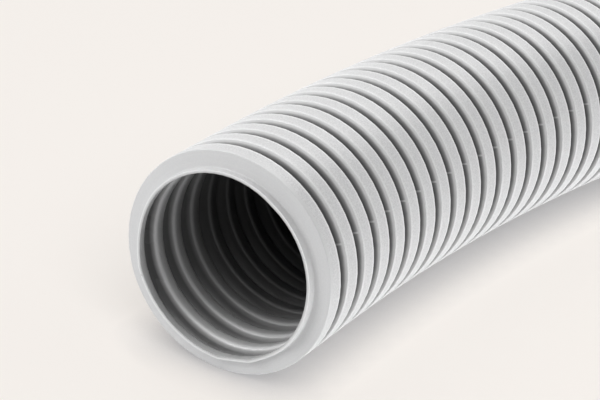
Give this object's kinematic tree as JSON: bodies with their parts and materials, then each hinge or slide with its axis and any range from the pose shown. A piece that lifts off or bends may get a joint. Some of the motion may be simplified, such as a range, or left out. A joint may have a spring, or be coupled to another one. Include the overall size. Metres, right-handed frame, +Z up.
{
  "type": "corrugated conduit",
  "caption": "Half-metre cut of flexible corrugated conduit, a thin-walled ribbed plastic tube in a gentle bend that carries and protects cables.",
  "frame": {"origin": "centre of the bore at the near cut end", "axes": "+X along the axis into the near end, +Z up, square to the plane of the bend, which turns towards -Y"},
  "size_m": [0.4661, 0.221, 0.0499],
  "materials": {
    "grey_pvc": "extruded light grey PVC, satin"
  },
  "bodies": {
    "root": {"conduit": "grey_pvc"}
  },
  "joints": []
}
